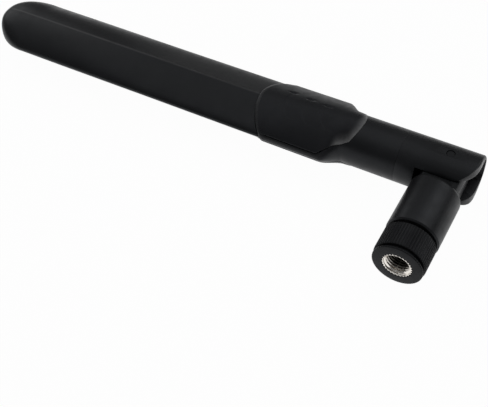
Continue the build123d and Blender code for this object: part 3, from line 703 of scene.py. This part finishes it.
def mathNode(tree, operation, *values):
    node = tree.nodes.new("ShaderNodeMath")
    node.operation = operation
    for k, value in enumerate(values):
        if isinstance(value, (int, float)):
            node.inputs[k].default_value = value
        else:
            tree.links.new(value, node.inputs[k])
    return node.outputs[0]


def objectY(tree):
    coordinates = tree.nodes.new("ShaderNodeTexCoord")
    split = tree.nodes.new("ShaderNodeSeparateXYZ")
    tree.links.new(coordinates.outputs["Object"], split.inputs[0])
    return split.outputs["Y"]


# moulded plastic: a spark-eroded grain, flow marks in colour and gloss, and a painted highlight that
# turns places pale, by the point attribute of painted light or within crestWidth of a line along X
def mouldedPlastic(name, colour, roughness, specular, grain, paintedLightColour=None, crestLine=None, crestWidth=0.5):
    material, tree, shader = newMaterial(name, colour, roughness, 0.0, specular)
    shader.inputs["Specular Tint"].default_value = (0.9, 0.94, 1, 1)
    fine, broad = noiseNode(tree, scale=5200, detail=2), noiseNode(tree, scale=90, detail=3)
    patches = noiseNode(tree, scale=420, detail=5, roughness=0.6)
    lighter, darker = [tuple(c * k for c in colour) for k in (1.3, 0.8)]
    mixed = mixNode(tree, rampNode(tree, broad.outputs["Fac"], low=0, high=1), darker, lighter)
    # painted light: a pale colour mixed in by the point attribute or along a crest line, broken into patches
    if paintedLightColour:
        if crestLine is None:
            layer = tree.nodes.new("ShaderNodeAttribute")
            layer.attribute_name = "paintedLight"
            paintedLightMask = layer.outputs["Fac"]
        else:
            away = mathNode(tree, "ABSOLUTE", mathNode(tree, "SUBTRACT", objectY(tree), crestLine * mm))
            paintedLightMask = rampNode(tree, away, low=1, high=0, start=0, stop=crestWidth * mm)
        patchy = rampNode(tree, patches.outputs["Fac"], low=0.55, high=1, start=0.3, stop=0.7)
        mixed = mixNode(tree, mathNode(tree, "MULTIPLY", paintedLightMask, patchy), mixed, paintedLightColour)
    tree.links.new(mixed, shader.inputs["Base Color"])
    tree.links.new(rampNode(tree, patches.outputs["Fac"], roughness - 0.05, roughness + 0.06),
                   shader.inputs["Roughness"])
    tree.links.new(bumpNode(tree, fine.outputs["Fac"], grain * mm), shader.inputs["Normal"])
    return material


# plated or turned metal: fine tool marks, cloudy gloss, and painted shade deeper in a bore, given
# as its start and stop along Y and its colour
def platedMetal(name, colour, roughness, paintedBoreShade=None):
    material, tree, shader = newMaterial(name, colour, roughness, 1.0)
    fine, broad = noiseNode(tree, scale=2600, detail=3), noiseNode(tree, scale=260, detail=3)
    darker = tuple(c * 0.85 for c in colour)
    mixed = mixNode(tree, rampNode(tree, broad.outputs["Fac"], low=0, high=1), darker, colour)
    # painted shade: darker from start to stop along Y, into the bore
    if paintedBoreShade:
        start, stop, boreShadeColour = paintedBoreShade
        deep = rampNode(tree, objectY(tree), low=0, high=1, start=start * mm, stop=stop * mm)
        mixed = mixNode(tree, deep, mixed, boreShadeColour)
    tree.links.new(mixed, shader.inputs["Base Color"])
    tree.links.new(rampNode(tree, broad.outputs["Fac"], roughness - 0.04, roughness + 0.07),
                   shader.inputs["Roughness"])
    tree.links.new(bumpNode(tree, fine.outputs["Fac"], 0.003 * mm), shader.inputs["Normal"])
    return material


# the last colour given to shell and pad is the pale colour of their painted light
materials = {
    "shell": mouldedPlastic("satinShell", (0.0062, 0.0064, 0.0072), 0.38, 0.25, 0.005,
                            (0.045, 0.045, 0.046)),
    "pad": mouldedPlastic("softPad", (0.0058, 0.006, 0.0072), 0.46, 0.24, 0.007, (0.22, 0.22, 0.222)),
    "pin": mouldedPlastic("dowel", (0.0062, 0.0062, 0.007), 0.4, 0.24, 0.004),
    "nut": mouldedPlastic("ribbedNut", (0.0052, 0.0052, 0.0058), 0.45, 0.16, 0.004),
    # nickel: painted shade darkens it from 0.8 to 2.5 mm deep in the insert's bore
    "nickel": platedMetal("nickelPlate", (0.9, 0.86, 0.8), 0.11, (0.8, 2.5, (0.05, 0.047, 0.04))),
    "gold": platedMetal("goldPlate", (0.85, 0.6, 0.25), 0.22),
    "brass": platedMetal("turnedBrass", (0.72, 0.55, 0.26), 0.3),
    "steel": platedMetal("springSteel", (0.55, 0.55, 0.55), 0.3),
    "copper": platedMetal("boardCopper", (0.72, 0.38, 0.22), 0.35),
    "solder": platedMetal("dullSolder", (0.6, 0.6, 0.58), 0.4),
    "braid": platedMetal("tinnedBraid", (0.6, 0.57, 0.52), 0.35),
    "white_insulator": mouldedPlastic("whiteInsulator", (0.7, 0.69, 0.66), 0.45, 0.4, 0.004),
    "gasket": mouldedPlastic("redGasket", (0.35, 0.05, 0.03), 0.5, 0.35, 0.006),
    "jacket": mouldedPlastic("cableJacket", (0.02, 0.02, 0.022), 0.45, 0.35, 0.006),
    "board": mouldedPlastic("glassBoard", (0.03, 0.16, 0.06), 0.35, 0.45, 0.004),
    "foam": mouldedPlastic("closedFoam", (0.6, 0.6, 0.58), 0.85, 0.2, 0.05),
}
# the blade's crest gets a painted highlight: a pale line along X at the hinge's Y
bladePlastic = mouldedPlastic("bladePlastic", (0.0062, 0.0064, 0.0072), 0.36, 0.24, 0.005,
                              (0.05, 0.05, 0.051), hinge[1], 0.45)

nodeSlots = {entry["node"]: entry["material_slot"] for entry in frame["record"]["subparts"]}
for name, node in nodes.items():
    node.data.materials.clear()
    node.data.materials.append(materials[nodeSlots[name]])
for piece in pieces:
    piece.data.materials.clear()
    piece.data.materials.append(bladePlastic if piece.name == "bladeShell" else materials[piece["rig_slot"]])
print("materials on", len(nodes), "nodes and", len(pieces), "pieces")

# camera: direction to the viewer by azimuth and elevation, turned by roll about its own axis
view = dict(azimuth=33.418, elevation=50.707, roll=-5.259, place=(31.955, -106.499, 156.388), lens=63.59)
azimuth, elevation, roll = [np.radians(view[k]) for k in ("azimuth", "elevation", "roll")]
back = Vector((np.sin(azimuth) * np.cos(elevation), -np.cos(azimuth) * np.cos(elevation), np.sin(elevation)))
right = Vector((np.cos(azimuth), np.sin(azimuth), 0))
up = back.cross(right)
rolledRight = right * np.cos(roll) + up * np.sin(roll)
rolledUp = up * np.cos(roll) - right * np.sin(roll)
camera = bpy.data.objects.new("camera", bpy.data.cameras.new("camera"))
camera.data.lens = view["lens"]
camera.data.sensor_width = 36
camera.data.clip_start = 0.01
turn = Matrix((rolledRight, rolledUp, back)).transposed().to_4x4()
camera.matrix_world = Matrix.Translation(Vector(view["place"]) * mm) @ turn
scene.collection.objects.link(camera)
scene.camera = camera

# floor: pale, white to the camera and in reflections, with the object's soft shadow left in
floorMesh = bpy.data.meshes.new("floor")
half, level, glowShare = 1.5, cadBox[0][2], 0.975
corners = [(-half, -half, level), (half, -half, level), (half, half, level), (-half, half, level)]
floorMesh.from_pydata(corners, [], [(0, 1, 2, 3)])
floor = bpy.data.objects.new("floor", floorMesh)
scene.collection.objects.link(floor)
floorMaterial, tree, shader = newMaterial("paleFloor", (0.8, 0.8, 0.8), 0.9, 0.0, 0.1)
glow = tree.nodes.new("ShaderNodeEmission")
glow.inputs["Color"].default_value = (1, 1, 1, 1)
path = tree.nodes.new("ShaderNodeLightPath")
seen = mathNode(tree, "MAXIMUM", path.outputs["Is Camera Ray"], path.outputs["Is Glossy Ray"])
seen = mathNode(tree, "MAXIMUM", seen, path.outputs["Is Transmission Ray"])
mixer = tree.nodes.new("ShaderNodeMixShader")
# the rest is the lit floor, which keeps the shadow
tree.links.new(mathNode(tree, "MULTIPLY", seen, glowShare), mixer.inputs["Fac"])
tree.links.new(shader.outputs["BSDF"], mixer.inputs[1])
tree.links.new(glow.outputs["Emission"], mixer.inputs[2])
tree.links.new(mixer.outputs["Shader"], tree.nodes["Material Output"].inputs["Surface"])
floorMesh.materials.append(floorMaterial)

# world and lamps
world = bpy.data.worlds.new("studio")
scene.world = world
world.use_nodes = True
tree = world.node_tree
backdrop = tree.nodes["Background"]
backdrop.inputs["Color"].default_value = (1, 1, 1, 1)
direction = tree.nodes.new("ShaderNodeSeparateXYZ")
tree.links.new(tree.nodes.new("ShaderNodeTexCoord").outputs["Generated"], direction.inputs[0])
# a dome paler overhead, and white to the camera
dome = rampNode(tree, direction.outputs["Z"], low=0.12, high=0.34, start=0.1, stop=0.75)
seen = tree.nodes.new("ShaderNodeLightPath").outputs["Is Camera Ray"]
tree.links.new(mathNode(tree, "MAXIMUM", dome, seen), backdrop.inputs["Strength"])


def addLamp(name, place, target, size, power):
    data = bpy.data.lights.new(name, "AREA")
    data.shape = "RECTANGLE"
    data.size, data.size_y = size
    data.energy = power
    lamp = bpy.data.objects.new(name, data)
    lamp.location = place
    lamp.rotation_euler = (Vector(target) - Vector(place)).to_track_quat("-Z", "Y").to_euler()
    scene.collection.objects.link(lamp)


addLamp("keySoftbox", (0.3, 0.38, 0.47), (0, 0.02, 0), (0.5, 0.5), 0.85)
addLamp("topSoftbox", (-0.05, 0.05, 0.7), (-0.05, 0.02, 0), (1.0, 0.8), 1.1)
addLamp("leftSoftbox", (-0.58, 0.25, 0.3), (-0.06, 0.02, 0), (0.35, 0.3), 0.35)

scene.view_settings.view_transform = "Standard"
print("camera, floor, world and lamps set")
